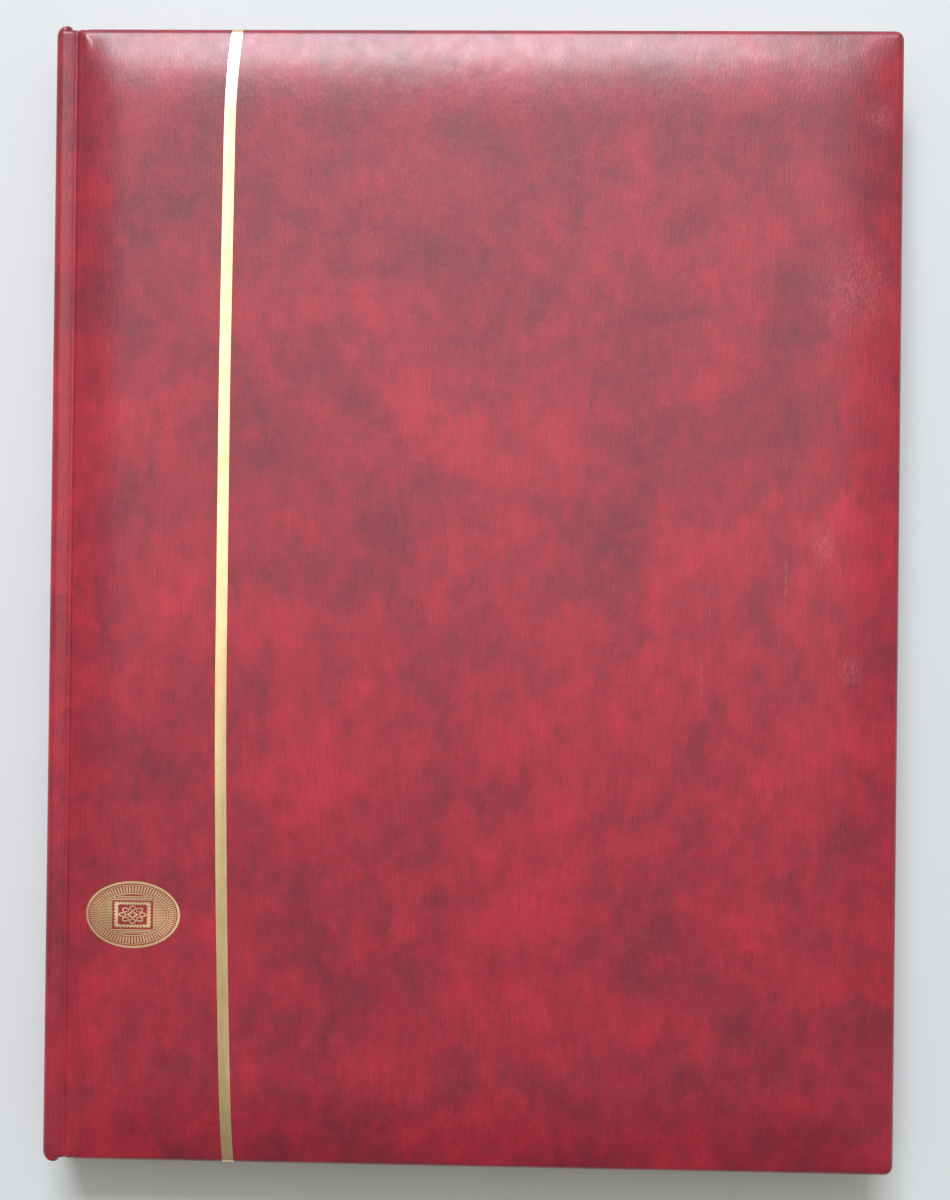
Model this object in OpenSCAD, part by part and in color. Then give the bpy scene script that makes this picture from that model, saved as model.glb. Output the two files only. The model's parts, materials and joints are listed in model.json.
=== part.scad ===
// Padded stamp stockbook: two padded covers and a narrow spine joined by two
// creased joints, round a block of eight card leaves with pocket strips.
// The closed book lies on its back cover. X runs from the spine to the fore
// edge, Y up the page from tail to head, Z up through the thickness.

/* [Book] */
// Width from the spine's outer face to the fore edge
album_w = 227; // [200:1:260]
// Height from tail to head
album_h = 305; // [270:1:340]
// Thickness of the closed book at the crown of the padding
album_t = 25; // [25:0.1:26]

/* [Covers] */
// Thickness of a cover at the crown of its padding
cover_t = 6.3; // [6:0.1:6.3]
// Thickness of a cover at its edges
cover_edge_t = 3.4; // [3.3:0.1:3.8]
// Width over which the padding falls to the head, tail and fore edges
roll_w = 24; // [16:1:30]
// Width over which the padding falls to the joint
joint_roll_w = 15; // [10:1:20]
// Radius of a cover's corners in plan
corner_r = 2.6; // [1:0.1:5]
// Thickness of the leatherette
skin_t = 0.5; // [0.4:0.1:0.6]
// Thickness of a cover board
board_t = 2.2; // [1.8:0.1:2.3]
// Width of the leatherette turned in round a board
turn_in_w = 15; // [10:1:20]

/* [Spine] */
// Thickness of the spine from outside to inside
spine_w = 4.2; // [4:0.1:4.4]
// Height of a joint's axis above the outer face of its cover
axis_drop = 4.7; // [4.6:0.1:4.8]
// Width of the groove between a joint's axis and the cover's edge
groove_w = 2.4; // [2.4:0.1:3]
// Distance from the joints' axes to the axis on which the leaves turn
nose_reach = 8.3; // [8.2:0.1:9]

/* [Leaves] */
// Number of leaves, each with pockets on both sides
leaf_count = 8; // [2:2:8]
// Height of a leaf
leaf_h = 297; // [260:1:300]
// Distance between neighbouring leaves
leaf_pitch = 1.5; // [1.5:0.05:1.5]
// Thickness of a leaf's card
card_t = 0.5; // [0.4:0.05:0.5]
// Depth that the cover stands past the leaves at the fore edge
fore_margin = 4.5; // [3:0.5:8]
// Pocket strips on one page
strip_count = 9; // [5:1:9]
// Height of a pocket strip
strip_h = 25.5; // [20:0.5:28]
// Thickness of a pocket strip
strip_t = 0.1; // [0.05:0.05:0.1]
// Room for a stamp behind a pocket strip
pocket_gap = 0.25; // [0.2:0.05:0.25]
// Thickness of an interleaf sheet
interleaf_t = 0.1; // [0.05:0.05:0.1]

/* [Gold foil] */
// Distance of the foil line from the spine's outer face
line_x = 47.2; // [40:1:60]
// Width of the foil line
line_w = 3; // [1:0.1:5]
// Distance of the emblem's centre from the spine's outer face
emblem_x = 24.4; // [20:0.1:30]
// Distance of the emblem's centre from the tail edge
emblem_y = 67; // [40:1:200]
// Width of the emblem
emblem_w = 25.4; // [16:0.1:30]
// Height of the emblem
emblem_h = 17.8; // [12:0.1:24]
// Depth of the foil in the leatherette
foil_t = 0.1; // [0.05:0.05:0.15]

/* [Hidden] */
$fn = 64;
eps = 0.01;

leather = [0.36, 0.07, 0.1];
gold = [0.8, 0.68, 0.36];
linen = [0.93, 0.92, 0.88];
paper = [0.95, 0.93, 0.87];
greyboard = [0.58, 0.55, 0.5];

mid_z = album_t / 2;
hinge_x = spine_w - album_w / 2;
hinge_z = axis_drop;
cover_x0 = hinge_x + groove_w;
cover_w = album_w / 2 - cover_x0;
// The spine stands a little past the covers at the head and the tail
spine_proud = 0.6;
cover_h = album_h - 2 * spine_proud;
lip_r = 1.6;
inner_r = 0.7;
spine_r = spine_w / 2;

nose_x = hinge_x + nose_reach;
nose_r = 2.5;
flap_r = nose_r + 0.3;
guard_w = 10.5;
card_x0 = nose_x + guard_w;
card_w = album_w / 2 - fore_margin - card_x0;
linen_t = 0.2;
tape_w = 8;
tape_t = 0.08;

// How far the padding has dropped at distance d from an edge, from 1 to 0
function fall(d, w) = d >= w ? 0 : pow(1 - d / w, 2.2);

// Drop of the rounded lip of a cover's edge at distance d from it
function lip(d) = d >= lip_r ? 0 : lip_r - sqrt(lip_r * lip_r - (lip_r - d) * (lip_r - d));

// Height of a cover's outer face over its inner face, at u across a width w,
// where the padding falls over wl on the low side and wr on the high side
function cover_top(u, w, wl, wr) =
    cover_t - (cover_t - cover_edge_t) * (fall(u, wl) + fall(w - u, wr))
    - lip(u) - lip(w - u);

// Distances from an edge at which the profile has a point
function steps(w) = concat([0, 0.2, 0.6, 1.1, lip_r], [for (i = [1:8]) lip_r + (w - lip_r) * i / 8]);

// Outline of a cover's section, inset by t all round
function cover_outline(w, wl, wr, t) =
    let (low = [for (d = steps(wl)) max(d, t)], high = [for (d = steps(wr)) max(d, t)])
    concat(
        t > 0 ? [[t, t]] : [[inner_r, 0], [inner_r * 0.3, inner_r * 0.3], [0, inner_r]],
        [for (d = low) if (d > t || t == 0) [d, cover_top(d, w, wl, wr) - t]],
        [for (i = [len(high) - 1:-1:0]) let (d = high[i]) if (d > t || t == 0)
            [w - d, cover_top(w - d, w, wl, wr) - t]],
        t > 0 ? [[w - t, t]]
            : [[w, inner_r], [w - inner_r * 0.3, inner_r * 0.3], [w - inner_r, 0]]
    );

// Rail along Y with a section drawn in X and Z
module rail(points, length) {
    rotate([90, 0, 0])
    linear_extrude(length, center = true)
    polygon(points);
}

// Rectangle with round corners, its low corner at the origin
module round_rect(w, h, r) {
    translate([r, 0])
    square([w - 2 * r, h]);
    translate([0, r])
    square([w, h - 2 * r]);
    for (x = [r, w - r])
        for (y = [r, h - r])
            translate([x, y])
            circle(r);
}

// Padded slab of a cover with its inner face at z = 0 and its crown upwards,
// inset by t, with its joint edge at x = 0 and the middle of its height at y = 0
module cover_form(t) {
    intersection() {
        rail(cover_outline(cover_w, joint_roll_w, roll_w, t), cover_h);
        translate([0, -cover_h / 2, 0])
        rotate([90, 0, 90])
        linear_extrude(cover_w)
        polygon(cover_outline(cover_h, roll_w, roll_w, t));
        translate([t, t - cover_h / 2, 0])
        linear_extrude(cover_t + 1)
        round_rect(cover_w - 2 * t, cover_h - 2 * t, corner_r - t);
    }
}

module cover_skin() {
    difference() {
        cover_form(0);
        cover_form(skin_t);
        translate([turn_in_w, turn_in_w - cover_h / 2, -eps])
        cube([cover_w - 2 * turn_in_w, cover_h - 2 * turn_in_w, skin_t + 2 * eps]);
    }
}

module cover_board() {
    intersection() {
        cover_form(skin_t);
        translate([0, -cover_h / 2, skin_t])
        cube([cover_w, cover_h, board_t]);
    }
}

module cover_foam() {
    difference() {
        cover_form(skin_t);
        translate([-1, -cover_h / 2 - 1, -1])
        cube([cover_w + 2, cover_h + 2, skin_t + board_t + 1]);
    }
}

endpaper_t = 0.2;
cloth_reach = 9;

// Sheet pasted over the turn-ins, which sinks into the window between them
module cover_endpaper() {
    lap = 11;
    translate([cloth_reach + 0.3, 4 - cover_h / 2, -endpaper_t])
    cube([cover_w - cloth_reach - 4.3, cover_h - 8, endpaper_t]);
    translate([turn_in_w, 4 + lap - cover_h / 2, -endpaper_t])
    cube([cover_w - 2 * turn_in_w, cover_h - 8 - 2 * lap, endpaper_t + skin_t]);
}

// Puts a cover's parts on the table with the crown down
module at_back() {
    translate([cover_x0, 0, cover_t])
    mirror([0, 0, 1])
    children();
}

// Puts a cover's parts on top with the crown up
module at_front() {
    translate([cover_x0, 0, album_t - cover_t])
    children();
}

// Leatherette of a joint: a V from the spine's roll down into the groove and up to the lip.
// The section is drawn about the joint's axis with the outer side upwards.
module joint_leatherette() {
    rail([
        [0.06, 0.2], [0.7, -1.1], [1.2, -1.1], [groove_w - 0.05, 0.4],
        [groove_w - 0.05, -0.3], [1.4, -1.6], [0.5, -1.6], [0.06, -0.9]
    ], cover_h - 2);
}

// Cloth inside a joint, from the spine's lining to the inner face of the cover
module joint_cloth() {
    inner = axis_drop - cover_t;
    rail([
        [0.36, inner - 0.6], [groove_w + 0.2, inner - 0.01], [groove_w + cloth_reach, inner - 0.01],
        [groove_w + cloth_reach, inner - 0.16], [groove_w + 0.2, inner - 0.16], [0.36, inner - 0.78]
    ], leaf_h);
}

module at_back_axis() {
    translate([hinge_x, 0, hinge_z])
    mirror([0, 0, 1])
    children();
}

module at_front_axis() {
    translate([hinge_x, 0, album_t - hinge_z])
    children();
}

// Section of the spine from outer face to inner face, inset by t
module spine_section(t) {
    r = spine_r - t;
    for (z = [hinge_z, album_t - hinge_z])
        translate([hinge_x - spine_r, z])
        circle(r);
    translate([hinge_x - spine_r - r, hinge_z])
    square([2 * r, album_t - 2 * hinge_z]);
}

module spine_form(t) {
    intersection() {
        rotate([90, 0, 0])
        linear_extrude(album_h - 2 * t, center = true)
        spine_section(t);
        translate([-album_w / 2 + t, -album_h / 2 + t, 0])
        linear_extrude(album_t)
        round_rect(spine_w + 3, album_h - 2 * t, 1.6 - t);
    }
}

// The leatherette wraps the spine's roll and turns in round its edges
module spine_leatherette() {
    window_z = hinge_z + 1;
    color(leather)
    difference() {
        spine_form(0);
        spine_form(skin_t);
        translate([hinge_x - skin_t - eps, -album_h / 2 + turn_in_w, window_z])
        cube([skin_t + 1, album_h - 2 * turn_in_w, album_t - 2 * window_z]);
    }
}

spine_foam_t = 1.1;

module spine_foam() {
    color("white")
    intersection() {
        spine_form(skin_t);
        translate([-album_w / 2, -album_h / 2, 0])
        cube([skin_t + spine_foam_t, album_h, album_t]);
    }
}

module spine_board() {
    color(greyboard)
    difference() {
        spine_form(skin_t);
        translate([-album_w / 2 - 1, -album_h / 2 - 1, -1])
        cube([skin_t + spine_foam_t + 1, album_h + 2, album_t + 2]);
    }
}

lining_t = 0.3;

module spine_lining() {
    lining_h = album_t - 2 * hinge_z - 4;
    color(linen)
    translate([hinge_x + 0.01, -leaf_h / 2, mid_z - lining_h / 2])
    cube([lining_t, leaf_h, lining_h]);
}

staple_x = hinge_x + 2.9;
staple_r = 0.3;
staple_count = 5;
staple_span = 12;
block_half = 5.1;
neck_half = 2.2;
staple_y = [for (i = [0:staple_count - 1]) (i - (staple_count - 1) / 2) * 58];

// Stacked linen guards of the leaves, glued and stapled, with a round nose
module binding_block() {
    x0 = hinge_x + lining_t + 0.02;
    color(linen)
    difference() {
        union() {
            translate([0, 0, mid_z])
            rail([
                [x0, -block_half], [hinge_x + 3.6, -block_half], [nose_x - 3, -neck_half],
                [nose_x - 1.9, -1.4], [nose_x - 1.9, 1.4],
                [nose_x - 3, neck_half], [hinge_x + 3.6, block_half], [x0, block_half]
            ], leaf_h - 2);
            translate([nose_x, 0, mid_z])
            rotate([90, 0, 0])
            cylinder(h = leaf_h - 2, r = nose_r, center = true);
        }
        for (y = staple_y)
            for (s = [-1, 1])
                translate([staple_x, y + s * staple_span / 2, 0])
                cylinder(h = album_t, r = staple_r + 0.02);
    }
}

// Wire staples through the block, their points bent over below it
module binding_staples() {
    leg = 2 * block_half + 2 * staple_r + 0.04;
    color("silver")
    for (y = staple_y) {
        for (s = [-1, 1]) {
            translate([staple_x, y + s * staple_span / 2, mid_z - leg / 2])
            cylinder(h = leg, r = staple_r);
            translate([staple_x, y + s * staple_span / 2, mid_z - leg / 2])
            rotate([s * 90, 0, 0])
            cylinder(h = 4.5, r = staple_r);
        }
        translate([staple_x, y, mid_z + leg / 2])
        rotate([90, 0, 0])
        cylinder(h = staple_span + 2 * staple_r, r = staple_r, center = true);
    }
}

module back_leatherette() {
    color(leather)
    at_back()
    cover_skin();
}

module back_foam() {
    color("white")
    at_back()
    cover_foam();
}

module back_board() {
    color(greyboard)
    at_back()
    cover_board();
}

module back_endpaper() {
    color(paper)
    at_back()
    cover_endpaper();
}

module back_joint_leatherette() {
    color(leather)
    at_back_axis()
    joint_leatherette();
}

module back_joint_cloth() {
    color(linen)
    at_back_axis()
    joint_cloth();
}

// Prism through the cover where the foil line lies
module line_prism(w) {
    translate([line_x - album_w / 2 - cover_x0 - w / 2, -cover_h / 2 - 1, cover_edge_t / 2])
    cube([w, cover_h + 2, cover_t]);
}

module oval(w, h) {
    scale([w / h, 1])
    circle(h / 2);
}

// Prism through the cover where the emblem lies: an oval band and a stamp inside it
module emblem_prism(gap) {
    band = 1.2;
    translate([emblem_x - album_w / 2 - cover_x0, emblem_y - album_h / 2, cover_edge_t / 2])
    linear_extrude(cover_t)
    union() {
        difference() {
            oval(emblem_w + gap, emblem_h + gap);
            oval(emblem_w - 2 * band - gap, emblem_h - 2 * band - gap);
        }
        square([0.42 * emblem_w + gap, 0.44 * emblem_h + gap], center = true);
    }
}

module front_leatherette() {
    color(leather)
    at_front()
    difference() {
        cover_skin();
        difference() {
            union() {
                line_prism(line_w + 2 * eps);
                emblem_prism(2 * eps);
            }
            translate([0, 0, -foil_t - 2 * eps])
            cover_form(0);
        }
    }
}

// Layer of foil set into the leatherette over the shape given
module foil() {
    color(gold)
    at_front()
    difference() {
        intersection() {
            children();
            translate([0, 0, -eps])
            cover_form(0);
        }
        translate([0, 0, -foil_t - eps])
        cover_form(0);
    }
}

module gold_line() {
    foil()
    line_prism(line_w);
}

module gold_emblem() {
    foil()
    emblem_prism(0);
}

module front_foam() {
    color("white")
    at_front()
    cover_foam();
}

module front_board() {
    color(greyboard)
    at_front()
    cover_board();
}

module front_endpaper() {
    color(paper)
    at_front()
    cover_endpaper();
}

module front_joint_leatherette() {
    color(leather)
    at_front_axis()
    joint_leatherette();
}

module front_joint_cloth() {
    color(linen)
    at_front_axis()
    joint_cloth();
}

// Height of leaf k's middle over the middle of the book, from the top leaf down
function leaf_z(k) = ((leaf_count + 1) / 2 - k) * leaf_pitch;

// Angle round the nose at which leaf k's linen leaves it
function flap_angle(k) = ((leaf_count + 1) / 2 - k) * 14;

module leaf_card(k) {
    color(paper)
    translate([card_x0, -leaf_h / 2, mid_z + leaf_z(k) - card_t / 2])
    cube([card_w, leaf_h, card_t]);
}

// Linen that hinges a leaf at the nose and forks over both faces of its card
module leaf_linen(k) {
    a = flap_angle(k);
    z = leaf_z(k);
    h = linen_t / 2;
    root = [flap_r * cos(a), flap_r * sin(a)];
    side = [-sin(a) * h, cos(a) * h];
    c = card_t / 2 + 0.01;
    e = guard_w - 0.02;
    color(linen)
    translate([nose_x, 0, mid_z])
    rail([
        root - side, [e - 2.5, z - h], [e, z - c - tape_t], [e + tape_w, z - c - tape_t],
        [e + tape_w, z - c], [e, z - c], [e, z + c], [e + tape_w, z + c],
        [e + tape_w, z + c + tape_t], [e, z + c + tape_t], [e - 2.5, z + h], root + side
    ], leaf_h - 4);
}

strip_x0 = card_x0 + tape_w + 2.5;
strip_w = card_x0 + card_w - 3 - strip_x0;
strip_pitch = (leaf_h - 8) / strip_count;
seam_w = 1.2;

// Strips glued to the page along their tail edge and both ends, open at the head
module page_strips() {
    depth = pocket_gap + strip_t;
    for (i = [0:strip_count - 1])
        translate([strip_x0, 4 + i * strip_pitch - leaf_h / 2, card_t / 2])
        difference() {
            cube([strip_w, strip_h, depth]);
            translate([seam_w, seam_w, -eps])
            cube([strip_w - 2 * seam_w, strip_h, pocket_gap + eps]);
        }
}

module leaf_front_strips(k) {
    color([0.9, 0.92, 0.9, 0.6])
    translate([0, 0, mid_z + leaf_z(k)])
    page_strips();
}

module leaf_back_strips(k) {
    color([0.9, 0.92, 0.9, 0.6])
    translate([0, 0, mid_z + leaf_z(k)])
    mirror([0, 0, 1])
    page_strips();
}

// Glassine sheet between leaves k and k + 1, with a narrow flap to the nose
module interleaf(k) {
    z = leaf_z(k + 0.5);
    a = flap_angle(k + 0.5);
    h = interleaf_t / 2;
    nose = [flap_r * cos(a), flap_r * sin(a)];
    root = nose + 0.4 * ([guard_w - 2.5, z] - nose);
    side = [-sin(a) * h, cos(a) * h];
    color([0.92, 0.92, 0.88, 0.5])
    translate([nose_x, 0, mid_z])
    rail([
        root - side, [guard_w - 2.5, z - h], [guard_w + card_w - 1, z - h],
        [guard_w + card_w - 1, z + h], [guard_w - 2.5, z + h], root + side
    ], leaf_h - 3);
}

back_leatherette();
back_foam();
back_board();
back_endpaper();
back_joint_leatherette();
back_joint_cloth();
spine_leatherette();
spine_foam();
spine_board();
spine_lining();
binding_block();
binding_staples();
front_leatherette();
front_foam();
front_board();
front_endpaper();
front_joint_leatherette();
front_joint_cloth();
gold_line();
gold_emblem();
for (k = [1:leaf_count]) {
    leaf_card(k);
    leaf_linen(k);
    leaf_front_strips(k);
    leaf_back_strips(k);
}
for (k = [1:leaf_count - 1]) {
    interleaf(k);
}
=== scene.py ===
import json
import math

import bpy
import numpy as np
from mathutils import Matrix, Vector

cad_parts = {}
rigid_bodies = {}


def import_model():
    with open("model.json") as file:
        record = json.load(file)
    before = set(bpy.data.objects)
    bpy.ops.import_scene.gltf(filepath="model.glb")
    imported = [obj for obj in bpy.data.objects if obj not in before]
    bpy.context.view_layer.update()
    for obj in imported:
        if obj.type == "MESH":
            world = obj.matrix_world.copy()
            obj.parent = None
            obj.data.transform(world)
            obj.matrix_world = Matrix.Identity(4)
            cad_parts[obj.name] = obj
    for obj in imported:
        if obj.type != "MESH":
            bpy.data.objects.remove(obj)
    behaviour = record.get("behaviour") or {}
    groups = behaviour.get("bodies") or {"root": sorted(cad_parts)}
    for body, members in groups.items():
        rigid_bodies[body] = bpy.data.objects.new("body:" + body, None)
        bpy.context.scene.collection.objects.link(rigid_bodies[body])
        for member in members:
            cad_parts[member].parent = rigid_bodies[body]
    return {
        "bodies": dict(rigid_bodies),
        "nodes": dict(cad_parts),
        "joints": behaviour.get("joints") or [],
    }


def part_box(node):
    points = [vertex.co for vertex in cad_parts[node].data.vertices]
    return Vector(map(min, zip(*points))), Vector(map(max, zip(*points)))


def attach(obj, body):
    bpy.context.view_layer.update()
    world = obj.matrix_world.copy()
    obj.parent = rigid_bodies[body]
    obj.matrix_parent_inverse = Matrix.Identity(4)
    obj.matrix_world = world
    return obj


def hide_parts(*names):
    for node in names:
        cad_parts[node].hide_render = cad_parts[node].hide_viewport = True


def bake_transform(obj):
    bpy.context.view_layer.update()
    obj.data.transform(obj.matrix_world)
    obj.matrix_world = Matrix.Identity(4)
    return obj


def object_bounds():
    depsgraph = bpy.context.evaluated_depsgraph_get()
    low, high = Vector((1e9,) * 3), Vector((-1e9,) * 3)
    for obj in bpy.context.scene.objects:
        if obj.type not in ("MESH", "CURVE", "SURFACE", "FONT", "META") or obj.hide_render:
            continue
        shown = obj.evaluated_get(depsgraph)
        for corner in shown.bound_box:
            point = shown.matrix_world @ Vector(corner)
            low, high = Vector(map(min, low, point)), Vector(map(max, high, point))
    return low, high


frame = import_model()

# The looks of a padded stamp stockbook. Lengths are in metres in the row frame:
# X from the spine to the fore edge, Y up the page, Z up through the thickness.

CAD_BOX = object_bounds()
MM = 0.001


def span(node):
    """Lowest and highest corner of a CAD node, as two arrays."""
    low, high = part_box(node)
    return np.array(low), np.array(high)


FRONT_LOW, FRONT_HIGH = span("front_leatherette")
BACK_HIGH = span("back_leatherette")[1]
SPINE_LOW, SPINE_HIGH = span("spine_leatherette")
HINGES = {j["name"]: np.array(j["pos_m"]) for j in frame["joints"]}
LEAVES = sum(1 for name in frame["bodies"] if name.startswith("leaf_"))
CRISP_ANGLE = math.radians(40)

# ---------------------------------------------------------------- mesh helpers


def add_mesh(name, points, faces, material, rest=None):
    """A smooth mesh object that keeps each point's resting place as an attribute."""
    mesh = bpy.data.meshes.new(name)
    mesh.from_pydata([tuple(p) for p in points], [], faces)
    mesh.update()
    mesh.shade_smooth()
    at = mesh.attributes.new("rest", "FLOAT_VECTOR", "POINT")
    at.data.foreach_set("vector", np.asarray(points if rest is None else rest, np.float32).ravel())
    mesh.materials.append(material)
    obj = bpy.data.objects.new(name, mesh)
    bpy.context.collection.objects.link(obj)
    return obj


def loft(rows, closed=False, flip=False):
    """(points, faces) of a sheet through rows of points, each row a closed loop or an open line."""
    rows = np.asarray(rows, float)
    count, across = rows.shape[:2]
    faces = []
    for i in range(count - 1):
        for j in range(across if closed else across - 1):
            k = (j + 1) % across
            face = (i * across + j, i * across + k, (i + 1) * across + k, (i + 1) * across + j)
            faces.append(face[::-1] if flip else face)
    return rows.reshape(-1, 3), faces


def joined(parts):
    """One (points, faces) from several."""
    points, faces, base = [], [], 0
    for p, f in parts:
        points.append(np.asarray(p, float))
        faces += [tuple(i + base for i in face) for face in f]
        base += len(p)
    return np.concatenate(points), faces


def solidify(obj, thickness, offset=-1.0):
    """Gives a sheet its thickness, inwards at offset -1 and outwards at 1."""
    m = obj.modifiers.new("thickness", "SOLIDIFY")
    m.thickness = thickness
    m.offset = offset
    return obj


def apply_modifiers(obj, crisp=False):
    """Turns the shape that the modifiers give into the piece's own mesh, with crisp edges on foil."""
    evaluated = obj.evaluated_get(bpy.context.evaluated_depsgraph_get())
    mesh = bpy.data.meshes.new_from_object(evaluated)
    obj.modifiers.clear()
    old, obj.data = obj.data, mesh
    bpy.data.meshes.remove(old)
    if crisp:
        obj.data.set_sharp_from_angle(angle=CRISP_ANGLE)


# ------------------------------------------------------------ material helpers

SPOT_DEPTH = 0.02
# Sockets of a colour Mix node: its two colours and its result
MIX_A, MIX_B, MIX_RESULT = 6, 7, 2


class Shader:
    """A material's node tree, with short calls to add nodes and wire them."""

    def __init__(self, name, alpha=False):
        self.material = bpy.data.materials.new(name)
        self.material.use_nodes = True
        self.tree = self.material.node_tree
        self.bsdf = self.tree.nodes["Principled BSDF"]
        if alpha:
            self.material.blend_method = "BLEND"

    def set(self, **values):
        """Sets the shader's own sockets, with _ for a space in a name."""
        for name, value in values.items():
            self.bsdf.inputs[name.replace("_", " ")].default_value = value

    def link(self, source, target):
        if isinstance(target, str):
            target = self.bsdf.inputs[target]
        self.tree.links.new(source, target)

    def node(self, kind, **inputs):
        """A node of that kind. An input is a value or another node's output; a _ in a name is a space."""
        n = self.tree.nodes.new("ShaderNode" + kind)
        for name, value in inputs.items():
            self.feed(n.inputs[name.replace("_", " ")], value)
        return n

    def feed(self, socket, value):
        if isinstance(value, bpy.types.NodeSocket):
            self.tree.links.new(value, socket)
        else:
            socket.default_value = value

    def rest(self):
        """The point's resting place, kept by add_mesh."""
        n = self.node("Attribute")
        n.attribute_name = "rest"
        return n.outputs["Vector"]

    def local(self):
        return self.node("TexCoord").outputs["Object"]

    def scaled(self, vector, x, y, z):
        """The vector with each part multiplied, so a pattern's size can differ along each axis."""
        n = self.node("VectorMath")
        n.operation = "MULTIPLY"
        self.feed(n.inputs[0], vector)
        n.inputs[1].default_value = (x, y, z)
        return n.outputs["Vector"]

    def warped(self, vector, scale, amount):
        """The vector pushed about by a cloudy noise, which breaks up a pattern's regularity."""
        noise = self.node("TexNoise", Vector=vector, Scale=scale, Detail=2.0)
        centre = self.node("VectorMath")
        centre.operation = "SUBTRACT"
        self.feed(centre.inputs[0], noise.outputs["Color"])
        centre.inputs[1].default_value = (0.5, 0.5, 0.5)
        push = self.node("VectorMath")
        push.operation = "MULTIPLY_ADD"
        self.feed(push.inputs[0], centre.outputs["Vector"])
        push.inputs[1].default_value = (amount,) * 3
        self.feed(push.inputs[2], vector)
        return push.outputs["Vector"]

    def noise(self, vector, scale, detail=2.0, roughness=0.5):
        n = self.node("TexNoise", Vector=vector, Scale=scale, Detail=detail, Roughness=roughness)
        return n.outputs["Fac"]

    def cells(self, vector, scale, feature="F1"):
        n = self.node("TexVoronoi", Vector=vector, Scale=scale)
        n.feature = feature
        return n.outputs["Distance"]

    def wave(self, vector, scale, direction, distortion=0.0):
        n = self.node("TexWave", Vector=vector, Scale=scale, Distortion=distortion)
        n.bands_direction = direction
        return n.outputs["Fac"]

    def maths(self, operation, a, b=0.0, clamp=False):
        n = self.node("Math")
        n.operation = operation
        n.use_clamp = clamp
        self.feed(n.inputs[0], a)
        self.feed(n.inputs[1], b)
        return n.outputs[0]

    def remap(self, value, low, high, to_low, to_high):
        n = self.node("MapRange", Value=value, From_Min=low, From_Max=high, To_Min=to_low, To_Max=to_high)
        return n.outputs["Result"]

    def ramp(self, value, stops):
        """Colours by value: stops are (place, colour)."""
        n = self.node("ValToRGB", Fac=value)
        ramp = n.color_ramp
        while len(ramp.elements) < len(stops):
            ramp.elements.new(0.5)
        for element, (place, colour) in zip(ramp.elements, stops):
            element.position = place
            element.color = (*colour, 1.0)
        return n.outputs["Color"]

    def mix(self, factor, a, b, blend="MIX"):
        n = self.tree.nodes.new("ShaderNodeMix")
        n.data_type = "RGBA"
        n.blend_type = blend
        self.feed(n.inputs[0], factor)
        self.feed(n.inputs[MIX_A], a)
        self.feed(n.inputs[MIX_B], b)
        return n.outputs[MIX_RESULT]

    def bump(self, *layers):
        """Stacks bumps, each (height, distance in metres), onto the normal."""
        normal = None
        for height, distance in layers:
            n = self.node("Bump", Height=height, Distance=distance)
            if normal is not None:
                self.link(normal, n.inputs["Normal"])
            normal = n.outputs["Normal"]
        self.link(normal, "Normal")

    def spot(self, vector, centre, radius):
        """1 at a place on the surface, falling to 0 at the radii given along X and Y."""
        away = self.node("VectorMath")
        away.operation = "SUBTRACT"
        self.feed(away.inputs[0], vector)
        away.inputs[1].default_value = centre
        sized = self.scaled(away.outputs["Vector"], 1 / radius[0], 1 / radius[1], 1 / SPOT_DEPTH)
        length = self.node("VectorMath")
        length.operation = "LENGTH"
        self.feed(length.inputs[0], sized)
        return self.remap(length.outputs["Value"], 1.0, 0.2, 0.0, 1.0)


# ------------------------------------------------------------------- materials

LEATHER_COLOURS = [
    (0.37, (0.190, 0.004, 0.018)),
    (0.46, (0.262, 0.005, 0.021)),
    (0.54, (0.340, 0.006, 0.025)),
    (0.63, (0.425, 0.007, 0.030)),
]
RUBBED_COLOUR = (0.42, 0.16, 0.17, 1.0)
# Rubbed places on the front cover near the fore edge: (centre, radii along X and Y)
SCUFFS = [
    ((0.100, 0.083, FRONT_HIGH[2]), (0.014, 0.016)),
    ((0.107, 0.128, FRONT_HIGH[2]), (0.005, 0.006)),
    ((0.093, 0.015, FRONT_HIGH[2]), (0.004, 0.007)),
    ((0.100, -0.018, FRONT_HIGH[2]), (0.004, 0.005)),
    ((0.083, 0.005, FRONT_HIGH[2]), (0.0006, 0.014)),
    ((0.061, -0.022, FRONT_HIGH[2]), (0.0006, 0.008)),
]


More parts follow.
